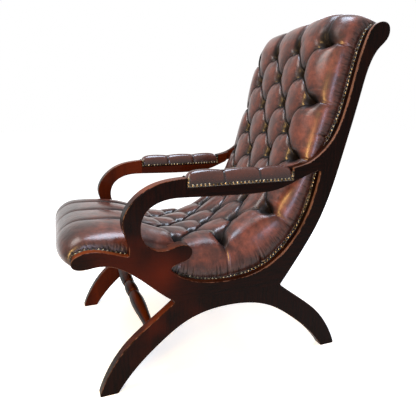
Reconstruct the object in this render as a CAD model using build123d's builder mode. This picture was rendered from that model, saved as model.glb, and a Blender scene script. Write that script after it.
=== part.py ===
"""Show-wood library chair with a deep-buttoned leather seat and back.

The chair faces -Y and stands on Z = 0. Left and right are the sitter's own, so left is +X.
Both side frames share one side view, drawn in the YZ plane. Its points are shares of the frame's
depth, measured back from the nose of the seat rail, and of its height, measured up from the floor.
"""

import os
from math import atan2, cos, degrees, hypot, pi, sin, sqrt

from build123d import *

os.makedirs("parts", exist_ok=True)

# Overall sizes, in millimetres
width = 600.0
frame_depth = 919.0
frame_height = 990.0
front_overhang = 29.0
overrun = 40.0

# Side frames, flush on their outer faces
rail_thickness = 36.0
leg_thickness = 30.0
arm_thickness = 40.0
edge_radius = 2.5
corner_radius = 4.0
crevice_radius = 6.0
rebate_depth = 4.0
side_roll_relief = 55.0

# Joints
fit_clearance = 0.15
rest_clearance = 0.3
dowel_diameter = 9.0
dowel_length = 40.0
tenon_length = 15.0
tenon_share = 0.6

# Cross rails: thickness along the frame's edge and across it
front_rail_size = (34.0, 26.0)
lower_rail_width = 60.0
top_rail_size = (38.0, 34.0)

# Turned stretchers
stretcher_belly_radius = 21.0
stretcher_cove_radius = 15.5
stretcher_end_radius = 13.5
stretcher_tenon_radius = 8.0
stretcher_tenon_length = 18.0
stretcher_barrel_length = 72.0
stretcher_cove_width = 16.0

# Upholstery
leather_thickness = 2.0
leather_inset = 33.0
flange_width = 10.0
button_pitch = 134.6
tuft_depth = 30.0
shoulder_drop_share = 0.14
webbing_thickness = 1.1
lining_thickness = 1.2
button_radius = 9.0
button_dome = 4.5

# Nails
nail_radius = 4.5
nail_height = 3.0
nail_pitch = 11.5

# Arm pads
pad_overhang = 1.5
pad_bed_height = 13.0
pad_bed_root = 2.0
pad_height = 44.0
pad_dip = 4.0
pad_end_drop = 8.0
pad_button_radius = 6.0
pad_button_dome = 3.0
pad_end_nail_pitch = 9.2

# Values that follow from the sizes above
frame_front = front_overhang - (frame_depth + front_overhang) / 2
side_face = width / 2
rail_inner_face = side_face - rail_thickness
half_pitch = button_pitch / 2
leather_half = side_face - leather_inset
flange_edge = leather_half + flange_width
rebate_edge = flange_edge + rest_clearance

# Side view: outlines as shares of the frame's depth and height
foot_front_share = 0.050
foot_back_share = 0.104
arch_centre_share = 0.458
leg_outer_shares = [(0.050, 0.0), (0.084, 0.069), (0.133, 0.129), (0.197, 0.179), (0.281, 0.239)]
leg_inner_shares = [(0.104, 0.0), (0.159, 0.064), (0.230, 0.123), (0.323, 0.179)]
arch_crown_shares = (0.458, 0.202)
rail_under_shares = [(0.202, 0.299), (0.152, 0.337), (0.098, 0.362), (0.060, 0.364), (0.026, 0.361)]
scroll_foot_shares = (0.152, 0.383)
scroll_outer_shares = [(0.153, 0.406), (0.138, 0.464), (0.163, 0.518), (0.235, 0.563), (0.321, 0.576)]
arm_top_shares = [(0.484, 0.583), (0.669, 0.590), (0.736, 0.608), (0.779, 0.637)]
post_rear_shares = [
    (0.997, 0.988), (0.998, 0.967), (0.986, 0.948), (0.962, 0.927), (0.938, 0.895), (0.906, 0.807),
    (0.844, 0.605), (0.775, 0.431), (0.702, 0.323), (0.635, 0.239),
]
volute_shares = [(0.300, 0.348), (0.330, 0.361), (0.336, 0.381), (0.310, 0.398), (0.277, 0.392)]
scroll_inner_shares = [(0.246, 0.388), (0.214, 0.398), (0.188, 0.449), (0.203, 0.492), (0.262, 0.522)]
arm_under_shares = [(0.323, 0.525), (0.464, 0.5225), (0.541, 0.523), (0.619, 0.531), (0.674, 0.549)]
volute_root_shares = (0.269, 0.334)
arm_root_shares = (0.770, 0.580)

# Joint lines and the cells that part the side frame into its planks
scroll_cell_shares = [
    (0.105, 0.404), (0.152, 0.383), (0.269, 0.334), (0.376, 0.333), (0.376, 0.455),
    (0.321, 0.455), (0.321, 0.626), (0.105, 0.626),
]
rail_cell_shares = [
    (-0.040, 0.239), (0.834, 0.239), (0.834, 0.458), (0.714, 0.506), (0.640, 0.440),
    (0.376, 0.333), (0.269, 0.334), (0.152, 0.383), (0.105, 0.404), (0.028, 0.434), (-0.040, 0.434),
]
post_cell_shares = [
    (0.714, 0.506), (0.834, 0.458), (1.080, 0.458), (1.080, 1.030), (0.784, 1.030),
    (0.784, 0.652), (0.770, 0.580), (0.735, 0.566),
]
arm_cell_shares = [
    (0.321, 0.455), (0.321, 0.700), (0.784, 0.700), (0.784, 0.652), (0.770, 0.580),
    (0.735, 0.566), (0.674, 0.505),
]

# Upholstery rows from the top of the back to the front of the seat. Each has the point on the
# frame's edge, the point of the button line above it, both as shares, and its tuft as a share
# of the full tuft depth. Rows with an odd number have four buttons, the others have three.
row_shares = [
    ((0.901, 0.924), (0.843, 0.945)), ((0.879, 0.852), (0.817, 0.865)),
    ((0.853, 0.760), (0.792, 0.778)), ((0.812, 0.672), (0.764, 0.691)),
    ((0.778, 0.596), (0.736, 0.610)), ((0.750, 0.502), (0.692, 0.525)),
    ((0.701, 0.401), (0.635, 0.451)), ((0.588, 0.303), (0.550, 0.399)),
    ((0.470, 0.278), (0.466, 0.374)), ((0.388, 0.281), (0.395, 0.369)),
    ((0.298, 0.309), (0.316, 0.376)), ((0.223, 0.354), (0.252, 0.397)),
]
top_roll_shares = [
    ((0.976, 1.000), (0.983, 1.013), 0.10), ((0.958, 0.998), (0.952, 1.031), 0.22),
    ((0.940, 0.990), (0.915, 1.037), 0.33), ((0.926, 0.977), (0.875, 1.026), 0.47),
    ((0.913, 0.953), (0.852, 0.987), 0.80),
]
front_roll_shares = [
    ((0.172, 0.375), (0.189, 0.421), 0.80), ((0.126, 0.389), (0.130, 0.437), 0.53),
    ((0.081, 0.402), (0.069, 0.445), 0.33), ((0.041, 0.405), (0.022, 0.445), 0.20),
    ((0.015, 0.398), (-0.013, 0.429), 0.10), ((0.002, 0.388), (-0.030, 0.406), 0.05),
    ((0.001, 0.374), (-0.031, 0.380), 0.03), ((0.009, 0.365), (-0.009, 0.356), 0.02),
]

# Dowels as shares of the side view, each with its direction in degrees from the floor
crown_dowel_shares = [(0.458, 0.220, 0.0)]
leg_dowel_shares = [(0.333, 0.239, 90.0), (0.583, 0.239, 90.0)]
post_dowel_shares = [(0.776, 0.481, 66.0)]
scroll_dowel_shares = [(0.186, 0.369, 66.0), (0.237, 0.347, 66.0)]
arm_dowel_shares = [(0.321, 0.541, 0.0)]
arm_post_dowel_shares = [(0.775, 0.606, -10.0)]

# Places of the cross pieces and the covers
front_rail_share = 0.029
top_rail_shares = (0.941, 0.953)
top_rail_angle = 58.0
stretcher_shares = (0.209, 0.163)
pad_front_shares = (0.321, 0.550)
pad_back_shares = (0.669, 0.553)
outside_back_shares = [
    (0.987, 0.978), (0.988, 0.966), (0.974, 0.951), (0.951, 0.931), (0.927, 0.896),
    (0.895, 0.807), (0.833, 0.609), (0.764, 0.437), (0.693, 0.332), (0.640, 0.268),
]
lining_shares = [
    (0.636, 0.262), (0.458, 0.249), (0.290, 0.255), (0.205, 0.316), (0.120, 0.3625),
    (0.070, 0.3645), (0.014, 0.3645),
]


def side_point(y_share: float, z_share: float) -> tuple[float, float]:
    """Point of the side view in millimetres."""
    return frame_front + y_share * frame_depth, z_share * frame_height


def side_points(shares) -> list[tuple[float, float]]:
    """Points of the side view in millimetres."""
    return [side_point(*share) for share in shares]


def mirrored_shares(shares):
    """The same points on the other side of the arch's centre line."""
    return [(2 * arch_centre_share - y, z) for y, z in shares]


# Stations of the upholstery
class Station:
    """One cross section of the upholstery, square to the frame's edge."""

    def __init__(self, edge, button, tuft_share, row):
        self.edge = edge
        self.button = button
        self.depth = tuft_share * tuft_depth
        self.row = row
        self.reach = hypot(button[0] - edge[0], button[1] - edge[1])
        self.normal = ((button[0] - edge[0]) / self.reach, (button[1] - edge[1]) / self.reach)
        self.crown = self.reach + self.depth

    def plane(self) -> Plane:
        """Plane across the chair with its local Y square to the frame's edge."""
        normal = Vector(0, *self.normal)
        return Plane(origin=(0, *self.edge), x_dir=(1, 0, 0), z_dir=Vector(1, 0, 0).cross(normal))

    def above_edge(self, height: float) -> tuple[float, float]:
        """Point of the side view at a height above the frame's edge."""
        return self.edge[0] + height * self.normal[0], self.edge[1] + height * self.normal[1]


def between(points, index):
    """Point halfway between two neighbours on the smooth curve through a list of points."""
    before, first, second, after = points[index - 1 : index + 3]
    return tuple((9 * (b + c) - (a + d)) / 16 for a, b, c, d in zip(before, first, second, after))


edge_points = side_points([share[0] for share in top_roll_shares + row_shares + front_roll_shares])
button_points = side_points([share[1] for share in top_roll_shares + row_shares + front_roll_shares])
first_row = len(top_roll_shares)
last_row = first_row + len(row_shares) - 1

stations = []
for index, (edge, button) in enumerate(zip(edge_points, button_points)):
    if index < first_row:
        stations.append(Station(edge, button, top_roll_shares[index][2], 1))
    elif index <= last_row:
        row = index - first_row + 1
        stations.append(Station(edge, button, 1, row))
        if index < last_row:
            middle = (between(edge_points, index), between(button_points, index))
            stations.append(Station(*middle, 1, row + 1 / 2))
    else:
        roll_index = index - last_row - 1
        stations.append(Station(edge, button, front_roll_shares[roll_index][2], len(row_shares)))


def tuft(column: float, row: float) -> float:
    """Height of the leather between its buttons, from 0 at a button to 1 on a crown.

    Columns count half a pitch, so a button lies where column and row add up to an even number.
    The folds run straight from button to button and stay below the crowns.
    """
    puff_share = 0.6
    roundness = 0.6
    along = pi * (column + row) / 2
    across = pi * (column - row) / 2
    puff = abs(sin(along) * sin(across))
    fold = 1 - abs(cos(along) * cos(across))
    return (puff_share * puff + (1 - puff_share) * fold) ** roundness


def surface_height(station: Station, column: float) -> float:
    """Height of the leather's face above the frame's edge."""
    shoulder = max(0, abs(column) - 2) ** 2 * shoulder_drop_share * station.crown
    return station.crown - shoulder - station.depth * (1 - tuft(column, station.row))


column_step = 1
outer_column = 3
columns = [outer_column - column_step * n for n in range(int(2 * outer_column / column_step) + 1)]
side_arc_shares = (0.585, 0.70)


def tufted_line(station: Station, inset: float) -> None:
    """Draw the face of the upholstery from its left edge to its right edge, set in by an inset."""

    def point(column):
        return column * half_pitch, surface_height(station, column) - inset

    start = (leather_half - inset, -inset)
    shoulder = point(outer_column)
    middle = (
        shoulder[0] + side_arc_shares[0] * (start[0] - shoulder[0]),
        start[1] + side_arc_shares[1] * (shoulder[1] - start[1]),
    )
    ThreePointArc(start, middle, shoulder)
    for column, following in zip(columns, columns[1:]):
        ThreePointArc(point(column), point((column + following) / 2), point(following))
    ThreePointArc((-shoulder[0], shoulder[1]), (-middle[0], middle[1]), (-start[0], start[1]))


# Side frame in one piece, before it is parted into planks
def side_blank(thickness: float) -> Part:
    """Whole left side frame at one thickness, with its edges eased."""
    nose = [station.edge for station in reversed(stations[-len(front_roll_shares) + 1 :])]
    post_front = [station.edge for station in stations if station.row in (1, 2, 3, 4)]
    seat_edge = side_points([share[0] for share in row_shares[5:11]])
    with BuildPart() as blank:
        with BuildSketch(Plane.YZ.offset(side_face - thickness)):
            with BuildLine():
                foot = side_point(foot_front_share, 0)
                heel = side_point(foot_back_share, 0)
                Spline(*side_points(leg_outer_shares))
                Spline(side_point(*leg_outer_shares[-1]), *side_points(rail_under_shares), nose[0])
                Spline(*nose, side_point(*scroll_foot_shares))
                Spline(
                    side_point(*scroll_foot_shares), *side_points(scroll_outer_shares),
                    *side_points(arm_top_shares), *reversed(post_front),
                )
                Spline(post_front[0], *side_points(post_rear_shares))
                Spline(side_point(*post_rear_shares[-1]), *side_points(mirrored_shares(leg_outer_shares))[-2::-1])
                back_foot, back_heel = side_points(mirrored_shares([leg_outer_shares[0], leg_inner_shares[0]]))
                Line(back_foot, back_heel)
                Spline(
                    *side_points(mirrored_shares(leg_inner_shares)), side_point(*arch_crown_shares),
                    *side_points(reversed(leg_inner_shares)),
                )
                Line(heel, foot)
            make_face()
            fillet(vertices(), corner_radius)
            with BuildLine():
                Spline(
                    side_point(*volute_root_shares), *side_points(volute_shares),
                    *side_points(scroll_inner_shares), *side_points(arm_under_shares),
                    side_point(*arm_root_shares),
                )
                Spline(side_point(*arm_root_shares), *seat_edge, side_point(*volute_root_shares))
            make_face(mode=Mode.SUBTRACT)
            fillet(vertices(Select.LAST), crevice_radius)
        extrude(amount=thickness)
        fillet(faces().filter_by(Axis.X).edges(), edge_radius)
    return blank.part


def edge_band(low: float, high: float, inner: float, outer: float) -> Part:
    """Band along the frame's edge between two heights above it, for the rebate and the relief."""
    with BuildPart() as band:
        with BuildSketch(Plane.YZ.offset(inner)):
            with BuildLine():
                lower = [station.above_edge(low) for station in stations]
                upper = [station.above_edge(high) for station in stations]
                Polyline(*lower, *reversed(upper), close=True)
            make_face()
        extrude(amount=outer - inner)
    return band.part


def plank(thickness: float, cell_shares) -> Part:
    """The part of the left side frame that lies inside a cell of the side view."""
    with BuildPart() as piece:
        add(side_blank(thickness))
        with BuildSketch(Plane.YZ):
            with BuildLine():
                Polyline(*side_points(cell_shares), close=True)
            make_face()
        extrude(amount=side_face + overrun, mode=Mode.INTERSECT)
    return piece.part


def dowel_locations(shares, x: float) -> list[Location]:
    """Places of dowels at one distance from the chair's centre plane, each along its joint."""
    places = []
    for y_share, z_share, angle in shares:
        direction = Vector(0, 1, 0).rotate(Axis.X, angle)
        places.append(Plane(origin=(x, *side_point(y_share, z_share)), z_dir=direction).location)
    return places


leg_dowel_line = side_face - leg_thickness / 2
rail_dowel_line = side_face - rail_thickness / 2
arm_dowel_line = side_face - arm_thickness / 2
outer_dowel_line = (side_face + rebate_edge) / 2
crown_dowels = dowel_locations(crown_dowel_shares, leg_dowel_line)
leg_dowels = dowel_locations(leg_dowel_shares, leg_dowel_line)
post_dowels = dowel_locations(post_dowel_shares, rail_dowel_line)
scroll_dowels = dowel_locations(scroll_dowel_shares, outer_dowel_line)
arm_dowels = dowel_locations(arm_dowel_shares, arm_dowel_line)
arm_post_dowels = dowel_locations(arm_post_dowel_shares, outer_dowel_line)
left_dowels = crown_dowels + leg_dowels + post_dowels + scroll_dowels + arm_dowels + arm_post_dowels


def dowel_holes(piece: Part, places: list[Location]) -> Part:
    """The piece with a hole for its half of each dowel."""
    with BuildPart() as drilled:
        add(piece)
        with Locations(*places):
            Cylinder(dowel_diameter / 2 + fit_clearance, dowel_length + 2 * fit_clearance, mode=Mode.SUBTRACT)
    return drilled.part


def cut_away(piece: Part, *cutters: Part) -> Part:
    """The piece without the space of each cutter."""
    with BuildPart() as trimmed:
        add(piece)
        for cutter in cutters:
            add(cutter, mode=Mode.SUBTRACT)
    return trimmed.part


def mirrored(piece: Part) -> Part:
    """The same piece for the right side."""
    with BuildPart() as other:
        mirror(piece, about=Plane.YZ)
    return other.part


# Cross rails, each with a stub tenon at both ends
lumbar_index = next(index for index, station in enumerate(stations) if station.row == 7)
lumbar_above = Vector(0, *stations[lumbar_index - 1].edge)
lumbar_edge = Vector(0, *stations[lumbar_index].edge)
lumbar_below = Vector(0, *stations[lumbar_index + 1].edge)
lumbar_along = (lumbar_above - lumbar_below).normalized()
lumbar_rearward = Vector(-1, 0, 0).cross(lumbar_along)
lumbar_face = lumbar_edge + lumbar_rearward * rebate_depth


def room_behind(place: Vector) -> float:
    """Distance from a place on the lower rail's face to the straight line of the outside back."""
    upper, lower = (Vector(0, *point) for point in side_points(outside_back_shares[-3:-1]))
    square = Vector(1, 0, 0).cross(upper - lower)
    return (upper - place).dot(square) / lumbar_rearward.dot(square)


lower_rail_room = min(room_behind(lumbar_face + lumbar_along * end * lower_rail_width / 2) for end in (1, -1))
lower_rail_size = (lower_rail_width, lower_rail_room - leather_thickness / 2 - rest_clearance)


def rail_plane(centre: tuple[float, float], angle: float) -> Plane:
    """Plane on the chair's centre line with its local X along the rail's wider side."""
    along = Vector(0, 1, 0).rotate(Axis.X, angle)
    return Plane(origin=(0, *centre), x_dir=along, z_dir=(1, 0, 0))


def cross_rail(plane: Plane, size: tuple[float, float], clearance: float = 0) -> Part:
    """Rail between the side frames. With a clearance it is the space that its tenons need."""
    easing = size[1] / 4
    with BuildPart() as rail:
        if not clearance:
            with BuildSketch(plane):
                RectangleRounded(*size, easing)
            extrude(amount=rail_inner_face, both=True)
        with BuildSketch(plane):
            Rectangle(*(side * tenon_share + 2 * clearance for side in size))
        extrude(amount=rail_inner_face + tenon_length + clearance, both=True)
    return rail.part


lining_top = side_point(*lining_shares[-1])[1] + lining_thickness / 2
front_rail_level = lining_top + rest_clearance + front_rail_size[1] / 2
front_rail_plane = rail_plane((side_point(front_rail_share, 0)[0], front_rail_level), 0)
lower_rail_centre = lumbar_face + lumbar_rearward * lower_rail_size[1] / 2
lower_rail_angle = degrees(atan2(lumbar_along.Z, lumbar_along.Y))
lower_rail_plane = rail_plane((lower_rail_centre.Y, lower_rail_centre.Z), lower_rail_angle)
top_rail_plane = rail_plane(side_point(*top_rail_shares), top_rail_angle)
front_cross_rail = cross_rail(front_rail_plane, front_rail_size)
lower_back_cross_rail = cross_rail(lower_rail_plane, lower_rail_size)
top_cross_rail = cross_rail(top_rail_plane, top_rail_size)


# Turned stretchers between the legs
stretcher_span = side_face - leg_thickness


def stretcher(centre: tuple[float, float]) -> Part:
    """Turned bar with a short barrel between two coves and a long taper to each end."""
    barrel_end = stretcher_barrel_length / 2
    cove_middle = barrel_end + stretcher_cove_width / 2
    cove_end = barrel_end + stretcher_cove_width
    shoulder_radius = (stretcher_belly_radius + stretcher_cove_radius) / 2
    swell = cove_end + (stretcher_span - cove_end) / 5
    waist = (swell + stretcher_span) / 2
    waist_radius = (stretcher_belly_radius + stretcher_end_radius) / 2 + fit_clearance
    with BuildPart() as bar:
        with BuildSketch(Plane(origin=(0, *centre), x_dir=(1, 0, 0), z_dir=(0, 0, 1))):
            with BuildLine():
                ThreePointArc(
                    (-barrel_end, shoulder_radius + fit_clearance), (0, stretcher_belly_radius),
                    (barrel_end, shoulder_radius + fit_clearance),
                )
                for end in (1, -1):
                    ThreePointArc(
                        (end * barrel_end, shoulder_radius + fit_clearance),
                        (end * cove_middle, stretcher_cove_radius), (end * cove_end, shoulder_radius),
                    )
                    Spline(
                        (end * cove_end, shoulder_radius), (end * swell, stretcher_belly_radius),
                        (end * waist, waist_radius), (end * stretcher_span, stretcher_end_radius),
                    )
                    Polyline(
                        (end * stretcher_span, stretcher_end_radius),
                        (end * stretcher_span, stretcher_tenon_radius),
                        (end * (stretcher_span + stretcher_tenon_length), stretcher_tenon_radius),
                        (end * (stretcher_span + stretcher_tenon_length), 0),
                    )
                Line(
                    (-stretcher_span - stretcher_tenon_length, 0), (stretcher_span + stretcher_tenon_length, 0)
                )
            make_face()
        revolve(axis=Axis((0, *centre), (1, 0, 0)))
    return bar.part


def stretcher_socket(centre: tuple[float, float]) -> Part:
    """Space that a stretcher's tenon needs in the left leg."""
    with BuildPart() as socket:
        with BuildSketch(Plane.YZ.offset(stretcher_span)):
            with Locations(centre):
                Circle(stretcher_tenon_radius + fit_clearance)
        extrude(amount=stretcher_tenon_length + fit_clearance)
    return socket.part


front_stretcher_centre = side_point(*stretcher_shares)
rear_stretcher_centre = side_points(mirrored_shares([stretcher_shares]))[0]
front_stretcher = stretcher(front_stretcher_centre)
rear_stretcher = stretcher(rear_stretcher_centre)


# Planks of the left side frame
leg_cell_front_shares = [(-0.040, 0.0), (0.458, 0.0), (0.458, 0.239), (-0.040, 0.239)]
leg_cell_back_shares = mirrored_shares(leg_cell_front_shares)
rebate = edge_band(-rebate_depth, side_roll_relief, rail_inner_face - arm_thickness, rebate_edge)

front_leg = cut_away(plank(leg_thickness, leg_cell_front_shares), stretcher_socket(front_stretcher_centre))
front_leg = dowel_holes(front_leg, crown_dowels + leg_dowels[:1])
rear_leg = cut_away(plank(leg_thickness, leg_cell_back_shares), stretcher_socket(rear_stretcher_centre))
rear_leg = dowel_holes(rear_leg, crown_dowels + leg_dowels[1:])

seat_rail = cut_away(
    plank(rail_thickness, rail_cell_shares), rebate,
    cross_rail(front_rail_plane, front_rail_size, fit_clearance),
    cross_rail(lower_rail_plane, lower_rail_size, fit_clearance),
)
seat_rail = dowel_holes(seat_rail, leg_dowels + post_dowels + scroll_dowels)
back_post = cut_away(
    plank(rail_thickness, post_cell_shares), rebate,
    cross_rail(top_rail_plane, top_rail_size, fit_clearance),
)
back_post = dowel_holes(back_post, post_dowels + arm_post_dowels)
arm_scroll = cut_away(plank(arm_thickness, scroll_cell_shares), rebate)
arm_scroll = dowel_holes(arm_scroll, scroll_dowels + arm_dowels)


# Arm pads, drawn at the left arm
pad_front = side_point(*pad_front_shares)
pad_back = side_point(*pad_back_shares)
pad_half = arm_thickness / 2 + pad_overhang
pad_side_share = 0.84
pad_crowns = [
    (0, pad_height - pad_end_drop), (1 / 6, pad_height), (1 / 3, pad_height - pad_dip),
    (1 / 2, pad_height), (2 / 3, pad_height - pad_dip), (5 / 6, pad_height),
    (1, pad_height - pad_end_drop),
]


def pad_point(share: float, inset: float = 0) -> tuple[float, float]:
    """Point on the pad's base line, from its front to its back, clear of the wood at both ends."""
    end_gap = rest_clearance + inset
    length = pad_back[0] - pad_front[0] - 2 * end_gap
    rise = pad_back[1] - pad_front[1]
    return pad_front[0] + end_gap + share * length, pad_front[1] + share * rise + rest_clearance


def pad_solid(inset: float, base: float) -> Part:
    """Crowned pad along the arm, set in from the leather's face, with its underside at a height."""
    with BuildPart() as solid:
        for share, crown in pad_crowns:
            y, z = pad_point(share, inset)
            half = pad_half - inset
            side = crown * pad_side_share - inset
            with BuildSketch(Plane(origin=(arm_dowel_line, y, z), x_dir=(1, 0, 0), z_dir=(0, -1, 0))):
                with BuildLine():
                    Polyline((-half, side), (-half, base), (half, base), (half, side))
                    ThreePointArc((half, side), (0, crown - inset), (-half, side))
                make_face()
        loft(ruled=True)
    return solid.part


pad_inset = leather_thickness + rest_clearance
with BuildPart() as arm_rest_shape:
    add(plank(arm_thickness, arm_cell_shares))
    add(rebate, mode=Mode.SUBTRACT)
    with BuildSketch(Plane.YZ):
        with BuildLine():
            Polyline(
                (pad_front[0] - overrun, pad_front[1]), (pad_front[0], pad_front[1]), pad_back,
                (pad_back[0], pad_back[1] + overrun), (pad_front[0] - overrun, pad_back[1] + overrun),
                close=True,
            )
        make_face()
    extrude(amount=side_face + overrun, mode=Mode.SUBTRACT)
    with BuildSketch(Plane.YZ.offset(arm_dowel_line - pad_half + pad_inset)):
        with BuildLine():
            front = pad_point(0, pad_inset)
            back = pad_point(1, pad_inset)
            Polyline(
                (front[0], front[1] - pad_bed_root), (back[0], back[1] - pad_bed_root),
                (back[0], back[1] + pad_bed_height), (front[0], front[1] + pad_bed_height),
                close=True,
            )
        make_face()
    extrude(amount=2 * (pad_half - pad_inset))
arm_rest = dowel_holes(arm_rest_shape.part, arm_dowels + arm_post_dowels)

arm_pad_leather = cut_away(pad_solid(0, 0), pad_solid(leather_thickness, -overrun))
arm_pad_filling = pad_solid(pad_inset, pad_bed_height + rest_clearance)


# Upholstery of the seat and back
def leather_cover() -> Part:
    """Tufted cover with a nailing flange along both of its edges."""
    with BuildPart() as cover:
        for station in stations:
            with BuildSketch(station.plane()):
                with BuildLine():
                    tufted_line(station, 0)
                    tufted_line(station, leather_thickness)
                    for side in (1, -1):
                        Polyline(
                            (side * leather_half, 0), (side * flange_edge, 0),
                            (side * flange_edge, -leather_thickness),
                            (side * (leather_half - leather_thickness), -leather_thickness),
                        )
                make_face()
        loft(ruled=True)
    return cover.part


def stuffing() -> Part:
    """Stuffing under the cover, resting on the webbing."""
    inset = leather_thickness + rest_clearance
    with BuildPart() as filling:
        for station in stations:
            with BuildSketch(station.plane()):
                with BuildLine():
                    tufted_line(station, inset)
                    Line((leather_half - inset, -inset), (inset - leather_half, -inset))
                make_face()
        loft(ruled=True)
    return filling.part


seat_back_leather = leather_cover()
seat_back_stuffing = stuffing()


# Webbing straps from side to side, each along one flat stretch of the upholstery's underside
with BuildPart() as webbing:
    strap_top = -leather_thickness - 2 * rest_clearance
    for index in range(first_row, len(stations) - len(front_roll_shares) + 2, 2):
        near, far = stations[index], stations[index + 1]
        with BuildSketch(Plane.YZ):
            with BuildLine():
                Polyline(
                    near.above_edge(strap_top), far.above_edge(strap_top),
                    far.above_edge(strap_top - webbing_thickness),
                    near.above_edge(strap_top - webbing_thickness),
                    close=True,
                )
            make_face()
        extrude(amount=flange_edge - rest_clearance, both=True)


# Domed heads for nails and buttons
def dome(radius: float, height: float) -> Part:
    """Spherical cap that stands on the XY plane."""
    sphere_radius = (radius**2 + height**2) / (2 * height)
    with BuildPart() as cap:
        with Locations((0, 0, height - sphere_radius)):
            Sphere(sphere_radius)
        split(bisect_by=Plane.XY, keep=Keep.TOP)
    return cap.part


with BuildPart() as button:
    cap = dome(button_radius, button_dome)
    add(cap)
    mirror(cap, about=Plane.XY)

button_curve = (button_radius**2 + button_dome**2) / (2 * button_dome)


def surface_near(station: Station, column: int):
    """Points of the cover around a button, as distances from its pit and heights above it."""
    plane = station.plane()
    pit = Vector(column * half_pitch, surface_height(station, column), 0)
    place = stations.index(station)
    shares = [n / 30 for n in range(10)]
    for neighbour in (stations[place - 1], stations[place + 1]):
        for side in (1, -1):
            if abs(column + side) > outer_column:
                continue
            reached = (column, column + side / 2, column + side)
            here, there = (
                plane.to_local_coords(
                    where.plane() * ThreePointArc(*((c * half_pitch, surface_height(where, c)) for c in reached))
                )
                for where in (station, neighbour)
            )
            for share in shares:
                near, far = here @ share - pit, there @ share - pit
                for step in shares:
                    point = near + (far - near) * step
                    yield hypot(point.X, point.Z), point.Y


def button_lift(station: Station, column: int) -> float:
    """Height of a button's middle above its pit, where it rests on the folds that rise around it."""
    rounding = button_curve - button_dome - rest_clearance
    return max(
        height + sqrt(button_curve**2 - distance**2) - rounding
        for distance, height in surface_near(station, column)
        if distance < button_radius
    )


button_locations = []
for station in stations[first_row : 1 - len(front_roll_shares)]:
    for column in range(-outer_column, outer_column + 1):
        if (column + station.row) % 2 == 0:
            height = surface_height(station, column) + button_lift(station, column)
            place = Pos(column * half_pitch, height, 0) * Rot(-90, 0, 0)
            button_locations.append(station.plane().location * place)

with BuildPart() as tuft_buttons:
    with Locations(*button_locations):
        add(button.part)


# Nails along the frame's edge, from the nose of the seat rail to the top of the post
edge_line = [Vector(0, *station.edge) for station in stations[:-2]]


def edge_at(distance: float) -> Vector:
    """Point of the frame's edge at a distance walked along it."""
    for near, far in zip(edge_line, edge_line[1:]):
        run = (far - near).length
        if distance < run:
            break
        distance -= run
    return near + (far - near) * (distance / run)


def nail_locations() -> list[Location]:
    """Places of the left edge nails, evenly spaced along the flange of the cover."""
    places = []
    length = sum((far - near).length for near, far in zip(edge_line, edge_line[1:]))
    for number in range(int(length / nail_pitch)):
        walked = (number + 1 / 2) * nail_pitch
        middle = edge_at(walked)
        before = edge_at(walked - nail_radius)
        after = edge_at(walked + nail_radius)
        normal = (after - before).cross(Vector(1, 0, 0)).normalized()
        rise = max((point - middle).dot(normal) for point in (before, middle, after))
        foot = middle + normal * (rise + rest_clearance) + Vector(leather_half + flange_width / 2, 0, 0)
        places.append(Plane(origin=foot, x_dir=(1, 0, 0), z_dir=normal).location)
    return places


nail_head = dome(nail_radius, nail_height)
with BuildPart() as edge_nails:
    with Locations(*nail_locations()):
        add(nail_head)


def pad_nail_locations() -> list[Location]:
    """Places of the nails on both sides of the left arm pad, with two more up each end."""
    places = []
    length = pad_back[0] - pad_front[0]
    count = int(length // nail_pitch)
    rows = [(n / count, 0) for n in range(count + 1)]
    rows += [(end, level) for end in (0, 1) for level in (1, 2)]
    for share, level in rows:
        y, z = pad_point(share, nail_radius + rest_clearance)
        for side in (1, -1):
            x = arm_dowel_line + side * (pad_half + rest_clearance)
            origin = (x, y, z + nail_radius + level * pad_end_nail_pitch)
            places.append(Plane(origin=origin, z_dir=(side, 0, 0)).location)
    return places


with BuildPart() as arm_pad_nails:
    with Locations(*pad_nail_locations()):
        add(nail_head)

pad_button_lift = rest_clearance + pad_button_radius * pad_dip * 6 / (pad_back[0] - pad_front[0])
with BuildPart() as arm_pad_buttons:
    for share, crown in (pad_crowns[2], pad_crowns[4]):
        y, z = pad_point(share)
        with Locations((arm_dowel_line, y, z + crown + pad_button_lift)):
            add(dome(pad_button_radius, pad_button_dome))


# Covers behind and below, between the side frames
def cover_sheet(shares, thickness: float) -> Part:
    """Sheet from side to side that follows a line of the side view."""
    with BuildPart() as sheet:
        with BuildSketch(Plane.YZ):
            with BuildLine():
                Spline(*side_points(shares))
            trace(line_width=thickness)
        extrude(amount=rail_inner_face - rest_clearance, both=True)
    return sheet.part


outside_back_leather = cover_sheet(outside_back_shares, leather_thickness)
bottom_lining = cover_sheet(lining_shares, lining_thickness)


with BuildPart() as frame_dowels:
    with Locations(*left_dowels):
        Cylinder(dowel_diameter / 2, dowel_length)
    mirror(about=Plane.YZ)

pieces = {
    "front_stretcher": front_stretcher,
    "rear_stretcher": rear_stretcher,
    "front_cross_rail": front_cross_rail,
    "lower_back_cross_rail": lower_back_cross_rail,
    "top_cross_rail": top_cross_rail,
    "seat_back_leather": seat_back_leather,
    "seat_back_stuffing": seat_back_stuffing,
    "webbing_straps": webbing.part,
    "tuft_buttons": tuft_buttons.part,
    "outside_back_leather": outside_back_leather,
    "bottom_lining": bottom_lining,
    "frame_dowels": frame_dowels.part,
}
left_pieces = {
    "front_leg": front_leg,
    "rear_leg": rear_leg,
    "seat_rail": seat_rail,
    "back_post": back_post,
    "arm_scroll": arm_scroll,
    "arm_rest": arm_rest,
    "arm_pad_leather": arm_pad_leather,
    "arm_pad_filling": arm_pad_filling,
    "arm_pad_nails": arm_pad_nails.part,
    "arm_pad_buttons": arm_pad_buttons.part,
    "edge_nails": edge_nails.part,
}
for name, piece in left_pieces.items():
    pieces[name + "_left"] = piece
    pieces[name + "_right"] = mirrored(piece)

for name, piece in pieces.items():
    piece.label = name
    export_step(piece, f"parts/{name}.step")
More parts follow.
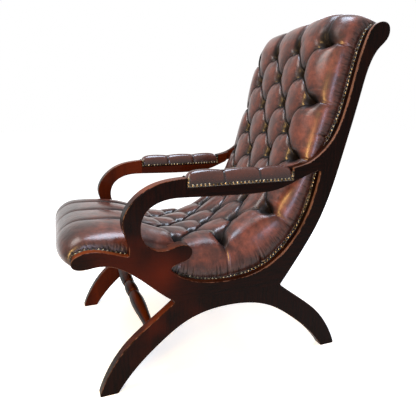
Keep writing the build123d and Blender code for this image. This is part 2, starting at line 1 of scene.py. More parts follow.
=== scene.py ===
"""Deep-buttoned leather library chair on two mahogany side frames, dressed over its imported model."""

import logging
import math
from dataclasses import dataclass, field
from enum import Enum

import bmesh
import bpy
import numpy as np
from mathutils import Matrix, Vector

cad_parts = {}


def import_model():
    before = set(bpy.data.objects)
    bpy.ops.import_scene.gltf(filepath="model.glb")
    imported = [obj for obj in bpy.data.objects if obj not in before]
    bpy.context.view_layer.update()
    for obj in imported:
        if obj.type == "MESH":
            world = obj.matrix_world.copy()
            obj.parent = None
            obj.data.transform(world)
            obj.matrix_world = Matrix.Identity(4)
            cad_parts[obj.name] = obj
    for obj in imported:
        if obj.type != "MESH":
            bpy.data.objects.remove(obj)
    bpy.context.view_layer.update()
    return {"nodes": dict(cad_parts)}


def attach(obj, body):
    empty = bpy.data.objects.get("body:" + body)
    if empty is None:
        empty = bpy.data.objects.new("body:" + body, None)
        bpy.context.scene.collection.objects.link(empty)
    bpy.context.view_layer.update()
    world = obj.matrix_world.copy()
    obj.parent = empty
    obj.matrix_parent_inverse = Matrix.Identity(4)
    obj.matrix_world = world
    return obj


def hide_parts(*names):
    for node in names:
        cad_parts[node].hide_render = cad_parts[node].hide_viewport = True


LOG = logging.getLogger("armchair")
MM = 0.001


# ---------------------------------------------------------------- colours and nodes
def linear(hex_colour: str) -> tuple[float, float, float, float]:
    """Turns an sRGB hex colour linear.

    Args:
        hex_colour: Colour such as "#2b1410".

    Returns:
        Linear red, green, blue and an alpha of 1.
    """
    parts = [int(hex_colour[i : i + 2], 16) / 255 for i in (1, 3, 5)]
    turned = [p / 12.92 if p <= 0.04045 else ((p + 0.055) / 1.055) ** 2.4 for p in parts]
    return (*turned, 1.0)


Socket = bpy.types.NodeSocket


class Shading:
    """Node tree of one finish, from its pattern to its surface."""

    def __init__(self, name: str, of_world: bool = False) -> None:
        """Starts an empty node tree.

        Args:
            name: Name of the new material or world.
            of_world: Whether it is a world.
        """
        blocks = bpy.data.worlds if of_world else bpy.data.materials
        self.block = blocks.new(name)
        self.block.use_nodes = True
        self.tree = self.block.node_tree
        self.tree.nodes.clear()

    def add(self, kind: str, sockets: dict | None = None, **settings: object) -> bpy.types.Node:
        """Adds one node.

        Args:
            kind: Type of the node.
            sockets: Value, colour or linked output for inputs, by name or number.
            settings: Properties of the node.

        Returns:
            The new node.
        """
        node = self.tree.nodes.new(kind)
        for name, value in settings.items():
            setattr(node, name, value)
        for key, value in (sockets or {}).items():
            if isinstance(value, Socket):
                self.tree.links.new(value, node.inputs[key])
            else:
                node.inputs[key].default_value = value
        return node

    def math(self, operation: str, first: object, second: object = 0.0, clamp: bool = False) -> Socket:
        """One sum, such as MULTIPLY or ADD, of two values or outputs."""
        node = self.add("ShaderNodeMath", {0: first, 1: second}, operation=operation, use_clamp=clamp)
        return node.outputs[0]

    def ramp(self, value: object, low: float, high: float, start: float = 0.0, end: float = 1.0) -> Socket:
        """Eased change of a value into another.

        Args:
            value: Output that is read.
            low: Value at which the result is start.
            high: Value at which the result is end.
            start: Result at low and before it.
            end: Result at high and past it.

        Returns:
            The result.
        """
        node = self.add(
            "ShaderNodeMapRange",
            {0: value, 1: low, 2: high, 3: start, 4: end},
            interpolation_type="SMOOTHSTEP",
        )
        return node.outputs[0]

    def noise(self, vector: object, scale: float, detail: float = 2.0, roughness: float = 0.5) -> Socket:
        """Cloudy noise.

        Args:
            vector: Coordinates in metres.
            scale: Number of clouds in a metre.
            detail: How many finer layers lie over them.
            roughness: Strength of each finer layer.

        Returns:
            Value between about 0.3 and 0.7.
        """
        node = self.add(
            "ShaderNodeTexNoise",
            {"Vector": vector, "Scale": scale, "Detail": detail, "Roughness": roughness},
        )
        return node.outputs["Fac"]

    def mix(self, share: object, first: object, second: object) -> Socket:
        """Colour mixed from two colours by a share."""
        return self.add("ShaderNodeMix", {0: share, 6: first, 7: second}, data_type="RGBA").outputs[2]

    def place(self) -> Socket:
        """Object coordinates in metres."""
        return self.add("ShaderNodeTexCoord").outputs["Object"]

    def stretched(self, vector: object, scale: tuple[float, float, float]) -> Socket:
        """Coordinates scaled by another factor on each axis."""
        return self.add("ShaderNodeMapping", {"Vector": vector, "Scale": scale}).outputs[0]

    def bump(self, height: object, reach: float, strength: float = 1.0, under: object = None) -> Socket:
        """Surface relief of a pattern.

        Args:
            height: Pattern, from 0 in its hollows to 1 on its crests.
            reach: Height of the crests in metres.
            strength: How much of that height shows.
            under: Earlier relief that this one lies on.

        Returns:
            The direction of the surface.
        """
        sockets = {"Height": height, "Distance": reach, "Strength": strength}
        if under is not None:
            sockets["Normal"] = under
        return self.add("ShaderNodeBump", sockets).outputs[0]

    def surface(self, **sockets: object) -> bpy.types.Material:
        """Ends the tree in its shader.

        Args:
            sockets: Inputs of the shader, with underscores for the spaces in their names.

        Returns:
            The finished material.
        """
        named = {key.replace("_", " "): value for key, value in sockets.items()}
        shader = self.add("ShaderNodeBsdfPrincipled", named)
        self.add("ShaderNodeOutputMaterial", {"Surface": shader.outputs[0]})
        return self.block


# ---------------------------------------------------------------- finishes
class Grain(Enum):
    """Way that the grain runs in a plank."""

    ALONG = (46.0, 3.2, 30.0)
    UPRIGHT = (46.0, 30.0, 3.2)
    ACROSS = (3.2, 46.0, 46.0)


@dataclass(frozen=True)
class AntiquedHide:
    """Cow hide, dyed dark and rubbed by hand, so that crowns are red-brown, with painted shade that makes
    creases and pits nearly black.
    """

    # crease is the colour of the painted shade in creases and pits
    crease: str = "#050303"
    body: str = "#110807"
    rubbed: str = "#603429"
    pitch_across: float = 67.3 * MM
    pitch_along: float = 84.0 * MM
    gather_reach: float = 62.0 * MM

    def material(self) -> bpy.types.Material:
        """Leather of the tufted cover, which reads where its folds and buttons lie.

        Returns:
            The finished material.
        """
        s = Shading("antiqued_cow_hide_tufted")
        place = s.place()
        lattice = s.add("ShaderNodeUVMap", uv_map="folds").outputs[0]
        split = s.add("ShaderNodeSeparateXYZ", {0: lattice})
        offs = []
        for number in (0, 1):
            coordinate = split.outputs[number]
            offs.append(s.math("SUBTRACT", coordinate, s.math("ROUND", coordinate)))
        across = s.math("MULTIPLY", s.math("SUBTRACT", offs[0], offs[1]), self.pitch_across)
        along = s.math("MULTIPLY", s.math("ADD", offs[0], offs[1]), self.pitch_along)
        arm = s.add("ShaderNodeCombineXYZ", {0: across, 1: along})
        reach = s.add("ShaderNodeVectorMath", {0: arm.outputs[0]}, operation="LENGTH").outputs["Value"]
        heading = s.add("ShaderNodeVectorMath", {0: arm.outputs[0]}, operation="NORMALIZE").outputs[0]
        lift = s.add("ShaderNodeCombineXYZ", {2: s.math("MULTIPLY", reach, 14.0)}).outputs[0]
        rays = s.add("ShaderNodeVectorMath", {0: heading, 1: lift}, operation="ADD").outputs[0]
        swell = s.add("ShaderNodeAttribute", attribute_name="swell").outputs["Fac"]
        tufted = s.add("ShaderNodeAttribute", attribute_name="tufted").outputs["Fac"]
        # Gathers fan out from each button, about fifty around it
        gathers = s.noise(rays, 7.5, 1.0, 0.5)
        near = s.math("MULTIPLY", s.ramp(reach, 0.01, self.gather_reach, 1.0, 0.0), tufted)
        near = s.math("MULTIPLY", near, s.ramp(reach, 0.016, 0.032))
        gathered = s.math("MULTIPLY", s.math("SUBTRACT", gathers, 0.5), near)
        # Gathers that run square to the nail line up the side of the roll, about 6 mm apart
        roll = s.add("ShaderNodeUVMap", uv_map="roll").outputs[0]
        ribs = s.noise(s.stretched(roll, (1.0, 0.02, 1.0)), 170.0, 1.5, 0.5)
        rim = s.add("ShaderNodeAttribute", attribute_name="rim").outputs["Fac"]
        ribbed = s.math("MULTIPLY", s.math("SUBTRACT", ribs, 0.5), rim)
        cloud = s.noise(place, 26.0, 3.0, 0.6)
        mottle = s.noise(place, 90.0, 3.0, 0.6)
        pores = s.noise(place, 620.0, 2.0, 0.6)
        rub = s.math("MULTIPLY", s.ramp(swell, 0.6, 1.0), s.ramp(cloud, 0.34, 0.66, 0.35, 1.0))
        rub = s.math("MULTIPLY", rub, s.ramp(mottle, 0.3, 0.7, 0.7, 1.0))
        rub = s.math("ADD", rub, s.math("MULTIPLY", gathered, 1.2), clamp=True)
        rub = s.math("MULTIPLY", rub, s.math("SUBTRACT", 1.0, s.math("MULTIPLY", rim, 0.8)))
        # Painted shade: the roll over the front rail keeps less of the rubbed colour, so that it reads darker
        forward = s.add("ShaderNodeSeparateXYZ", {0: place}).outputs[1]
        rub = s.math("MULTIPLY", rub, s.ramp(forward, -0.45, -0.33, 0.3, 1.0))
        # Painted shade in the valleys of the gathers by the nails
        gather_shade = s.math("MULTIPLY", s.ramp(ribs, 0.36, 0.5, 0.75, 0.0), rim)
        colour = s.mix(rub, linear(self.body), linear(self.rubbed))
        # Painted shade: the colour darkens towards near black where the buttons pull the leather in
        colour = s.mix(s.ramp(swell, 0.3, 0.78, 0.9, 0.0), colour, linear(self.crease))
        # Painted shade along the fold lines and in the pits round the buttons
        fold = s.math("MINIMUM", s.math("ABSOLUTE", offs[0]), s.math("ABSOLUTE", offs[1]))
        line = s.math("MULTIPLY", s.ramp(fold, 0.008, 0.036, 0.9, 0.0), tufted)
        pit = s.math("MULTIPLY", s.ramp(reach, 0.010, 0.026, 1.0, 0.0), tufted)
        dark = s.math("MAXIMUM", s.math("MAXIMUM", line, pit), gather_shade)
        colour = s.mix(dark, colour, linear(self.crease))
        rough = s.ramp(mottle, 0.3, 0.7, 0.3, 0.37)
        rough = s.math("ADD", rough, s.math("MULTIPLY", dark, 0.4))
        relief = s.bump(gathered, 3.4 * MM)
        relief = s.bump(ribbed, 4.5 * MM, 1.0, relief)
        relief = s.bump(s.noise(place, 55.0, 1.0, 0.5), 1.6 * MM, 0.7, relief)
        relief = s.bump(pores, 0.08 * MM, 0.6, relief)
        return s.surface(
            Base_Color=colour, Roughness=rough, Normal=relief, Specular_IOR_Level=0.12,
            Coat_Weight=s.math("MULTIPLY", s.math("SUBTRACT", 1.0, dark), 0.6), Coat_Roughness=0.24,
        )

    def pit(self) -> bpy.types.Material:
        """Hide at the bottom of a pit, dull and painted near black as shade.

        Returns:
            The finished material.
        """
        s = Shading("dull_cow_hide_pit_painted_shade")
        # Painted shade: the pit is near black, mottled a little
        pit_shade_noise = s.noise(s.place(), 240.0, 2.0, 0.6)
        colour = s.mix(s.ramp(pit_shade_noise, 0.3, 0.7), linear(self.crease), linear("#0d0706"))
        return s.surface(
            Base_Color=colour, Roughness=0.75, Normal=s.bump(pit_shade_noise, 0.4 * MM, 0.6), Specular_IOR_Level=0.05
        )

    def plain(self, name: str, depth: float, polish: float = 0.6) -> bpy.types.Material:
        """The same hide without folds, for the pads, buttons and the outside back.

        Args:
            name: What the piece is, which ends the material's name.
            depth: How much of the rubbed colour shows.
            polish: Weight of the wax on it.

        Returns:
            The finished material.
        """
        s = Shading("antiqued_cow_hide_" + name)
        place = s.place()
        cloud = s.noise(place, 18.0, 2.0, 0.5)
        mottle = s.noise(place, 110.0, 3.0, 0.6)
        pores = s.noise(place, 620.0, 2.0, 0.6)
        rub = s.math("MULTIPLY", s.ramp(cloud, 0.2, 0.8, 0.5, 1.0), depth)
        colour = s.mix(rub, linear(self.body), linear(self.rubbed))
        swell = s.add("ShaderNodeAttribute", attribute_name="swell").outputs["Fac"]
        # Painted shade: darker where the swell value is low
        colour = s.mix(s.ramp(swell, 0.05, 1.0, 0.92, 0.0), colour, linear(self.crease))
        relief = s.bump(s.noise(place, 45.0, 0.0, 0.5), 0.6 * MM, 0.6)
        relief = s.bump(pores, 0.05 * MM, 0.5, relief)
        return s.surface(
            Base_Color=colour, Roughness=s.ramp(mottle, 0.3, 0.7, 0.26, 0.32), Normal=relief,
            Specular_IOR_Level=0.12, Coat_Weight=polish, Coat_Roughness=0.14,
        )


@dataclass(frozen=True)
class PolishedMahogany:
    """Mahogany, stained nearly black and French polished, with the stain worn thin at arrises."""

    dark: str = "#050201"
    body: str = "#100402"
    # The glow colours, inner and warm are painted light; worn is real wear at the arrises and a painted
    # highlight on the borders
    glow: str = "#300d03"
    inner: str = "#431806"
    warm: str = "#6a3113"
    hub_highlight: str = "#431405"
    worn: str = "#6e5145"
    hub: tuple[float, float, float] = (0.0, -0.225, 0.325)
    hub_reach: float = 85.0 * MM

    def material(self, grain: Grain) -> bpy.types.Material:
        """Wood with its grain one way.

        Args:
            grain: Way that the grain runs.

        Returns:
            The finished material.
        """
        s = Shading("polished_mahogany_" + grain.name.lower())
        place = s.place()
        fibres = s.noise(s.stretched(place, grain.value), 6.0, 5.0, 0.6)
        figure = s.noise(s.stretched(place, tuple(v / 8 for v in grain.value)), 3.0, 3.0, 0.6)
        patch = s.noise(place, 5.5, 2.0, 0.5)
        aside, back = s.add("ShaderNodeSeparateXYZ", {0: place}).outputs[:2]
        colour = s.mix(s.ramp(fibres, 0.3, 0.7), linear(self.dark), linear(self.body))
        # Painted pool of light: orange patches towards the front of the chair
        front = s.ramp(back, -0.33, 0.02, 1.0, 0.12)
        light_pool = s.math("MULTIPLY", s.ramp(patch, 0.52, 0.70), s.ramp(figure, 0.35, 0.7, 0.35, 1.0))
        light_pool = s.math("MULTIPLY", light_pool, front)
        colour = s.mix(light_pool, colour, linear(self.glow))
        # Painted highlight where the arm, the rail and the front leg meet
        side_view = s.stretched(place, (0.0, 1.0, 1.0))
        meeting = s.add("ShaderNodeVectorMath", {0: side_view, 1: self.hub}, operation="DISTANCE")
        meeting_highlight = s.ramp(meeting.outputs["Value"], 0.0, self.hub_reach, 0.6, 0.0)
        meeting_highlight = s.math("MULTIPLY", meeting_highlight, s.ramp(patch, 0.35, 0.6, 0.5, 1.0))
        colour = s.mix(meeting_highlight, colour, linear(self.hub_highlight))
        facing = s.add("ShaderNodeSeparateXYZ", {0: s.add("ShaderNodeNewGeometry").outputs["Normal"]})
        # Painted light: faces towards the sitter are lighter than the outer ones
        inward = s.math("MULTIPLY", aside, facing.outputs[0])
        inner_light = s.math("MULTIPLY", s.ramp(inward, -0.22, -0.1, 1.0, 0.0), s.ramp(figure, 0.3, 0.65, 0.3, 1.0))
        colour = s.mix(inner_light, colour, linear(self.inner))
        # Painted highlight on the upper faces of the arms and feet, towards the front
        top_highlight = s.math("MULTIPLY", s.ramp(facing.outputs[2], 0.55, 0.95), s.ramp(figure, 0.3, 0.6, 0.25, 1.0))
        colour = s.mix(s.math("MULTIPLY", top_highlight, front), colour, linear(self.warm))
        # Painted highlight on the outer border of every face that looks forward or up
        lean = s.math("ABSOLUTE", facing.outputs[0])
        open_face = s.ramp(s.math("SUBTRACT", facing.outputs[2], facing.outputs[1]), 0.15, 0.6)
        start = s.ramp(back, -0.05, 0.15, 300.0 * MM, 290.0 * MM)
        past = s.math("SUBTRACT", s.math("ABSOLUTE", aside), start)
        border_highlight = s.math("MULTIPLY", s.ramp(past, 0.0, 3.0 * MM), s.ramp(lean, 0.3, 0.6, 1.0, 0.0))
        border_highlight = s.math("MULTIPLY", border_highlight, open_face)
        border_highlight = s.math("MULTIPLY", border_highlight, s.ramp(figure, 0.25, 0.6, 0.45, 1.0))
        colour = s.mix(s.math("MULTIPLY", border_highlight, 0.8), colour, linear(self.worn))
        arris = s.math("MULTIPLY", s.ramp(lean, 0.2, 0.5), s.ramp(lean, 0.85, 0.97, 1.0, 0.0))
        worn = s.math("MULTIPLY", arris, s.ramp(s.noise(place, 60.0, 3.0, 0.65), 0.42, 0.62))
        colour = s.mix(s.math("MULTIPLY", worn, 0.55), colour, linear(self.worn))
        relief = s.bump(fibres, 0.25 * MM, 0.6)
        relief = s.bump(s.noise(place, 60.0, 2.0, 0.5), 0.3 * MM, 0.5, relief)
        return s.surface(
            Base_Color=colour, Roughness=s.ramp(fibres, 0.3, 0.7, 0.26, 0.4), Normal=relief,
            Specular_IOR_Level=0.02, Coat_Weight=0.05, Coat_Roughness=0.08,
        )


@dataclass(frozen=True)
class AgedBrass:
    """Brass nail heads, dulled in their hollows and bright where hands have rubbed them."""

    bright: str = "#6e6350"
    dull: str = "#1f1910"

    def material(self) -> bpy.types.Material:
        """Brass that changes from nail to nail.

        Returns:
            The finished material.
        """
        s = Shading("aged_brass")
        share = s.ramp(s.noise(s.place(), 85.0, 2.0, 0.6), 0.35, 0.65)
        colour = s.mix(share, linear(self.dull), linear(self.bright))
        return s.surface(Base_Color=colour, Metallic=1.0, Roughness=s.ramp(share, 0.0, 1.0, 0.34, 0.22))


@dataclass(frozen=True)
class WovenCloth:
    """Plain-woven cloth, such as black lining cambric or jute webbing."""

    name: str
    thread: str
    gap: str
    thread_pitch: float
    roughness: float = 0.85

    def material(self) -> bpy.types.Material:
        """Cloth with its threads drawn across and along the chair.

        Returns:
            The finished material.
        """
        s = Shading(self.name)
        place = s.place()
        split = s.add("ShaderNodeSeparateXYZ", {0: place})
        turn = 2 * math.pi / self.thread_pitch
        warp = s.math("SINE", s.math("MULTIPLY", split.outputs[0], turn))
        run = s.math("ADD", split.outputs[1], split.outputs[2])
        weft = s.math("SINE", s.math("MULTIPLY", run, turn))
        weave = s.math("MULTIPLY", warp, weft)
        share = s.math("MULTIPLY", s.ramp(weave, -1.0, 1.0), s.ramp(s.noise(place, 40.0), 0.3, 0.7, 0.5, 1.0))
        colour = s.mix(share, linear(self.gap), linear(self.thread))
        relief = s.bump(weave, 0.3 * MM, 0.7)
        return s.surface(Base_Color=colour, Roughness=self.roughness, Normal=relief, Specular_IOR_Level=0.2)


@dataclass(frozen=True)
class RawBeech:
    """Planed beech of the dowels and hidden rails, pale with short dark flecks."""

    pale: str = "#b98d61"
    fleck: str = "#8a6238"

    def material(self) -> bpy.types.Material:
        """Beech with its flecks along the length.

        Returns:
            The finished material.
        """
        s = Shading("planed_beech")
        place = s.place()
        flecks = s.noise(s.stretched(place, (8.0, 60.0, 60.0)), 12.0, 3.0, 0.6)
        colour = s.mix(s.ramp(flecks, 0.4, 0.65), linear(self.pale), linear(self.fleck))
        return s.surface(Base_Color=colour, Roughness=0.6, Normal=s.bump(flecks, 0.1 * MM, 0.5))


# ---------------------------------------------------------------- shared shape tools
@dataclass(frozen=True)
class SideView:
    """Side view of the frame, in which places are written as shares of its depth and height."""

    front: float = -445.0 * MM
    depth: float = 919.0 * MM
    height: float = 990.0 * MM

    def points(self, shares: list[tuple[float, float]]) -> np.ndarray:
        """Places of the side view as rows of y and z in metres."""
        table = np.array(shares)
        return np.column_stack((self.front + table[:, 0] * self.depth, table[:, 1] * self.height))


def smooth_line(points: np.ndarray, places: np.ndarray) -> np.ndarray:
    """Points on the smooth curve through control points.

    Args:
        points: One control point a row.
        places: Numbers of the control points to read at, with fractions between them.

    Returns:
        One point a row for each place.
    """
    padded = np.vstack((2 * points[:1] - points[1:2], points, 2 * points[-1:] - points[-2:-1]))
    first = np.clip(np.floor(places).astype(int), 0, len(points) - 2)
    t = (places - first)[:, None]
    a, b, c, d = (padded[first + n] for n in range(4))
    return 0.5 * (2 * b + (c - a) * t + (2 * a - 5 * b + 4 * c - d) * t**2 + (3 * b - a - 3 * c + d) * t**3)


def ease(values: np.ndarray, low: float, high: float) -> np.ndarray:
    """Eased rise from 0 at low to 1 at high."""
    share = np.clip((values - low) / (high - low), 0, 1)
    return share * share * (3 - 2 * share)


def object_from(
    name: str, shape: bmesh.types.BMesh, material: bpy.types.Material
) -> bpy.types.Object:
    """Makes a smooth object of a finished bmesh, on the chair's body.

    Args:
        name: Name of the piece.
        shape: Finished bmesh, freed here.
        material: Finish of the piece.

    Returns:
        The new object.
    """
    mesh = bpy.data.meshes.new(name)
    shape.to_mesh(mesh)
    shape.free()
    mesh.materials.append(material)
    mesh.polygons.foreach_set("use_smooth", [True] * len(mesh.polygons))
    piece = bpy.data.objects.new(name, mesh)
    bpy.context.scene.collection.objects.link(piece)
    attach(piece, "root")
    LOG.info("%s: %d faces", name, len(mesh.polygons))
    return piece


def grid_shape(columns: int, rows: int) -> tuple[bmesh.types.BMesh, np.ndarray, np.ndarray]:
    """Flat grid to be shaped.

    Args:
        columns: Steps across.
        rows: Steps along.

    Returns:
        The bmesh, and the column and row number of each vertex.
    """
    shape = bmesh.new()
    bmesh.ops.create_grid(shape, x_segments=columns, y_segments=rows, size=0.5)
    shape.verts.ensure_lookup_table()
    flat = np.array([v.co[:2] for v in shape.verts]) + 0.5
    return shape, np.rint(flat[:, 0] * columns).astype(int), np.rint(flat[:, 1] * rows).astype(int)


def close_tube(shape: bmesh.types.BMesh, columns: np.ndarray) -> None:
    """Joins the two long sides of a shaped grid and closes its ends.

    Args:
        shape: Grid whose vertices are in their places.
        columns: Column number of each vertex.
    """
    ends = {columns.min(), columns.max()}
    numbered = [(edge, *(columns[vertex.index] for vertex in edge.verts)) for edge in shape.edges]
    rims = [edge for edge, first, second in numbered if first == second and first in ends]
    bmesh.ops.bridge_loops(shape, edges=rims)
    bmesh.ops.holes_fill(shape, edges=[edge for edge in shape.edges if edge.is_boundary], sides=0)
    bmesh.ops.recalc_face_normals(shape, faces=shape.faces)


def set_places(shape: bmesh.types.BMesh, places: np.ndarray) -> None:
    """Moves each vertex to its place."""
    for vertex, place in zip(shape.verts, places):
        vertex.co = place


def set_values(shape: bmesh.types.BMesh, name: str, values: np.ndarray) -> None:
    """Writes one number a vertex under a name that a finish reads."""
    layer = shape.verts.layers.float.new(name)
    for vertex, value in zip(shape.verts, values):
        vertex[layer] = value


# ---------------------------------------------------------------- upholstery
@dataclass
class TuftedCover:
    """Leather of the seat and back, buttoned in diamonds over its stuffing, from roll to roll."""

    view: SideView
    hide: AntiquedHide
    half_pitch: float = 67.3 * MM
    tuft_depth: float = 30.0 * MM
    pit_depth: float = 16.0 * MM
    pit_radius: float = 16.0 * MM
    pit_shade_radius: float = 11.0 * MM
    lip_depth: float = 3.0 * MM
    leather_half: float = 267.0 * MM
    flange_edge: float = 277.0 * MM
    leather_thickness: float = 2.0 * MM
    roll_start: float = 150.0 * MM
    roll_power: float = 2.1
    fold_share: float = 0.64
    bow: float = 0.15
    crease_depth: float = 4.0 * MM
    crease_width: float = 3.0 * MM
    lip_width: float = 3.5 * MM
    roll_span: float = 60.0 * MM
    fold_spacing: float = 105.0 * MM
    steps: int = 24
    side_steps: int = 34
    roll_steps: int = 12
    # Each row has the point on the frame's edge, the point of the button line above it, both as
    # shares of the side view, and its tuft as a share of the full depth, from the top to the front
    rows: list[tuple[tuple[float, float], tuple[float, float], float]] = field(
        default_factory=lambda: [
            ((0.986, 0.986), (0.996, 0.991), 0.02),
            ((0.976, 1.000), (0.983, 1.013), 0.10), ((0.958, 0.998), (0.952, 1.031), 0.22),
            ((0.940, 0.990), (0.915, 1.037), 0.33), ((0.926, 0.977), (0.875, 1.026), 0.47),
            ((0.913, 0.953), (0.852, 0.987), 0.80), ((0.901, 0.924), (0.843, 0.945), 1.0),
            ((0.879, 0.852), (0.817, 0.865), 1.0), ((0.853, 0.760), (0.792, 0.778), 1.0),
            ((0.812, 0.672), (0.764, 0.691), 1.0), ((0.778, 0.596), (0.736, 0.610), 1.0),
            ((0.750, 0.502), (0.692, 0.525), 1.0), ((0.701, 0.401), (0.635, 0.451), 1.0),
            ((0.588, 0.303), (0.550, 0.399), 1.0), ((0.470, 0.278), (0.466, 0.374), 1.0),
            ((0.388, 0.281), (0.395, 0.369), 1.0), ((0.298, 0.309), (0.316, 0.376), 1.0),
            ((0.223, 0.354), (0.252, 0.397), 1.0), ((0.172, 0.375), (0.189, 0.421), 0.80),
            ((0.126, 0.389), (0.130, 0.437), 0.53), ((0.081, 0.402), (0.069, 0.445), 0.33),
            ((0.041, 0.405), (0.022, 0.445), 0.20), ((0.015, 0.398), (-0.013, 0.429), 0.10),
            ((0.002, 0.388), (-0.030, 0.406), 0.05), ((0.001, 0.374), (-0.031, 0.380), 0.03),
            ((0.009, 0.365), (-0.009, 0.356), 0.02),
        ]
    )
    # Place in the table of the first row of buttons, and how many rows have them
    first_row_place: int = 6
    last_row: int = 12

    def __post_init__(self) -> None:
        """Turns the tables into places."""
        self.edges = self.view.points([row[0] for row in self.rows])
        self.buttons = self.view.points([row[1] for row in self.rows])
        self.depths = np.array([[row[2] * self.tuft_depth] for row in self.rows])

    def section(self, place: np.ndarray) -> tuple[np.ndarray, np.ndarray, np.ndarray, np.ndarray]:
        """Cross sections of the upholstery.

        Args:
            place: Places along the table of rows, with fractions.

        Returns:
            Edge, outward direction, crown height and tuft depth at each place.
        """
        edge = smooth_line(self.edges, place)
        reach = smooth_line(self.buttons, place) - edge
        depth = smooth_line(self.depths, place)[:, 0]
        height = np.hypot(reach[:, 0], reach[:, 1])
        return edge, reach / height[:, None], height + depth, depth

    def fold(self, share: np.ndarray) -> np.ndarray:
        """Height of a fold between two buttons, as a share of the crown's."""
        return self.fold_share * np.sin(np.pi * np.clip(share, 0, 1)) ** 0.5

    def swell(self, share: np.ndarray) -> np.ndarray:
        """Bulge across a pillow, steep at its upper fold and gentle at its lower one."""
        peak = 0.4
        share = np.clip(share, 0, 1)
        return (share / peak) ** 0.42 * ((1 - share) / (1 - peak)) ** 0.63

    def pillow(self, column: np.ndarray, row: np.ndarray) -> np.ndarray:
        """Height of the buttoned leather.

        Args:
            column: Place across in half pitches.
            row: Row of buttons, with fractions.

        Returns:
            Height from 0 at a button to 1 on a crown.
        """
        a = (row + column) / 2
        b = (row - column) / 2
        a, b = a - np.floor(a), b - np.floor(b)
        f, g = self.fold(a), self.fold(b)
        return f + g - f * g / self.fold_share + (1 - self.fold_share) * self.swell(a) * self.swell(b)

    def shape_field(
        self, column: np.ndarray, row: np.ndarray, side: np.ndarray
    ) -> tuple[np.ndarray, np.ndarray]:
        """How far the buttons pull the leather in.

        Args:
            column: Place across in half pitches, held at 3 beyond the last button.
            row: Row of buttons, with fractions.
            side: Way out over the side roll, from 0 at the last button to 1 at the nails.

        Returns:
            Share of the tuft depth, and share of the narrow crease.
        """
        held_column = np.clip(column, -3, 3)
        held_row = np.clip(row, 1, self.last_row)
        above, below, on_roll = row < 1, row > self.last_row, side > 0
        core = 1 - self.pillow(held_column, held_row)
        # Beyond the first and last row the folds run on square to the roll
        across = np.where(on_roll & above, np.clip(3 - side * 1.5, 2, 3), np.abs(held_column))
        pleat = (1 - self.pillow(across, held_row)) * (1 - 0.4 * ease(np.abs(row - held_row), 0.0, 1.0))
        # Beyond the last column a pleat runs from each outer button to the nails
        turned = np.where(above, np.clip(2 - row, 1, 2), held_row)
        valley = 1 - self.pillow(np.full_like(turned, 3.0), turned)
        outward = (1 - 0.94 * ease(side, 0.0, 0.42)) * valley ** (1 + 2.2 * side)
        pull = np.where(on_roll, outward, core)
        ends = above | below
        pull = np.where(ends & ~on_roll, pleat, pull)
        pull = np.where(ends & on_roll, np.maximum(pleat, outward), pull)
        from_pleat = np.abs((turned - 1) / 2 - np.rint((turned - 1) / 2)) * 2 * self.hide.pitch_along
        crease = np.exp(-from_pleat / self.crease_width)
        crease = crease * ease(side, 0.0, 0.12) * (1 - 0.6 * ease(side, 0.6, 0.95))
        return pull, np.where(below | (row < 0.9), 0, crease)

    def across(self) -> tuple[np.ndarray, np.ndarray]:
        """Columns of the mesh from right to left.

        Returns:
            Place in half pitches and way out over the roll.
        """
        core = np.linspace(0, 3, 3 * self.steps + 1)
        side = np.linspace(0, 1, self.side_steps + 1)[1:]
        flange = 1 + np.array([0.02, 0.5, 1.0, 2.0])
        column = np.concatenate((core, np.full(len(side) + len(flange), 3.0)))
        way = np.concatenate((np.zeros(len(core)), side, flange))
        return np.concatenate((-column[:0:-1], column)), np.concatenate((-way[:0:-1], way))

    def along(self) -> np.ndarray:
        """Rows of the mesh, closer together in the buttoned part.

        Returns:
            Places along the table.
        """
        first, last = self.first_row_place, self.first_row_place + self.last_row - 1
        head = np.linspace(0, first, first * self.roll_steps + 1)[:-1]
        middle = np.linspace(first, last, (last - first) * self.steps + 1)
        nose = np.linspace(last, len(self.rows) - 1, (len(self.rows) - 1 - last) * self.roll_steps + 1)[1:]
        return np.concatenate((head, middle, nose))

    def surface(self, column: np.ndarray, way: np.ndarray, place: np.ndarray) -> dict[str, np.ndarray]:
        """Places of the leather's face, with what its finish reads.

        Args:
            column: Place across in half pitches.
            way: Signed way out over the side roll, past 1 on the nailed flange.
            place: Place along the table.

        Returns:
            Places, the values of swell, tufted and rim, and the distance from the nearest button.
        """
        row = place - self.first_row_place + 1
        side = np.clip(np.abs(way), 0, 1)
        flange = np.clip(np.abs(way) - 1, 0, 2)
        sign = np.where((column < 0) | (way < 0), -1.0, 1.0)
        inside = ease(row, 0.2, 1.2) * (1 - ease(row, self.last_row - 0.3, self.last_row + 0.8))
        shift = self.bow * np.sin(np.pi * column) ** 2 * inside
        edge, normal, crown, depth = self.section(place - shift)
        width = self.leather_half - self.roll_start
        start = math.asin(((3 * self.half_pitch - self.roll_start) / width) ** (self.roll_power / 2))
        turn = start + (math.pi / 2 - start) * side
        core_x = np.abs(column) * self.half_pitch
        share = np.clip((core_x - self.roll_start) / width, 0, 1)
        x = np.where(side > 0, self.roll_start + width * np.sin(turn) ** (2 / self.roll_power), core_x)
        share = np.where(side > 0, np.sin(turn) ** (2 / self.roll_power), share)
        rise = np.clip(1 - share**self.roll_power, 0, 1) ** (1 / self.roll_power)
        lean = ease(side, 0.0, 0.7) * np.sin(turn)
        pull, crease = self.shape_field(column, row, side)
        held = np.clip(row, 1, self.last_row)
        p, q = (held + column) / 2, (held - column) / 2
        p, q = p - np.rint(p), q - np.rint(q)
        away = np.hypot((p - q) * self.half_pitch + side * self.roll_span, (p + q) * self.hide.pitch_along)
        away = np.hypot(away, (row - held) * self.hide.pitch_along)
        strength = np.minimum(depth / self.tuft_depth, 1)
        pit = self.pit_depth * np.exp(-((away / self.pit_radius) ** 2))
